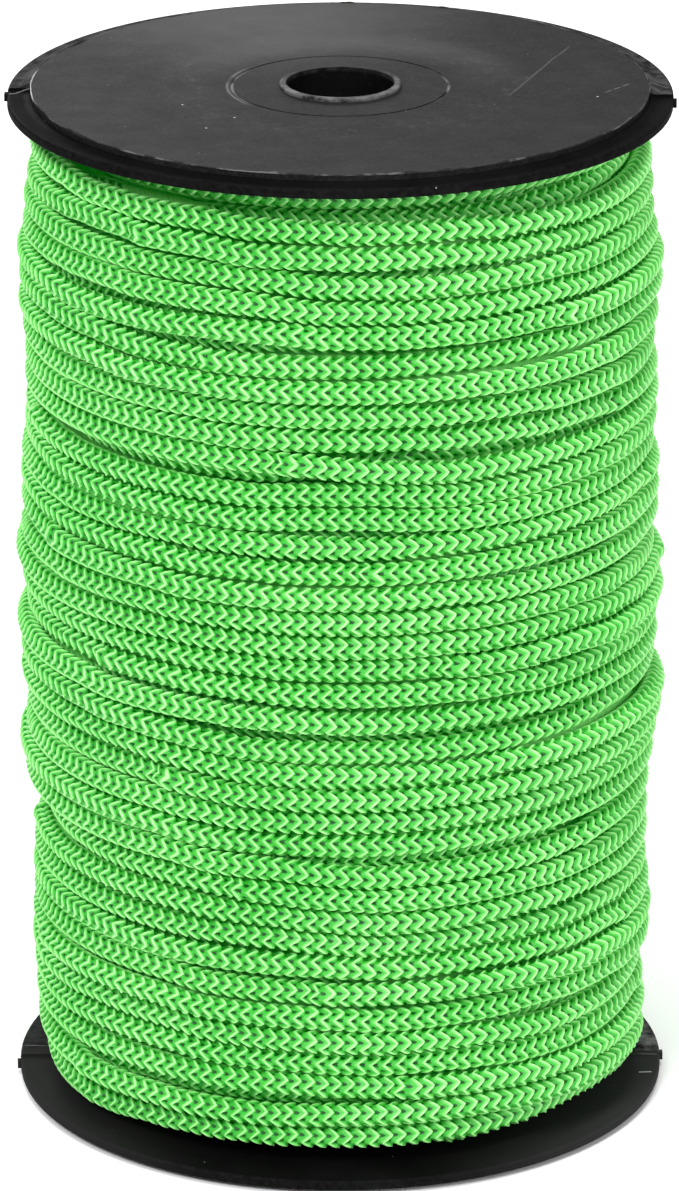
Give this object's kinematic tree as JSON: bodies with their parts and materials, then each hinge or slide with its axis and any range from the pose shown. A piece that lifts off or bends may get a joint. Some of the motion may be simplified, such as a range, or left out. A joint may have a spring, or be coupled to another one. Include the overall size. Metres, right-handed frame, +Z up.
{
  "type": "cord spool",
  "caption": "Round cord spool: two flat disc flanges on a hollow barrel, an open centre bore, and knitted cord wound between the flanges.",
  "frame": {"origin": "centre of the foot, on the lower end plate's outer face, where the spool stands on its flat end", "axes": "+Z up along the bore from the lower end plate to the upper one; -Y is the front; the line between the half rims runs close to X"},
  "size_m": [0.0838, 0.083, 0.1329],
  "materials": {
    "flange_plastic": "matt black moulded plastic",
    "plate_plastic": "matt black sheet, faintly scuffed",
    "barrel_plastic": "matt black tube",
    "sleeve_plastic": "matt dark grey thin tube",
    "cord_knit": "knitted bright green synthetic cord with a slight sheen"
  },
  "bodies": {
    "root": {"upper_flange": "flange_plastic", "upper_end_plate": "plate_plastic", "lower_flange": "flange_plastic", "lower_end_plate": "plate_plastic", "barrel": "barrel_plastic", "spindle_sleeve": "sleeve_plastic", "cord_winding": "cord_knit", "cord_outer_end": "cord_knit", "cord_start_knot": "cord_knit"}
  },
  "joints": []
}
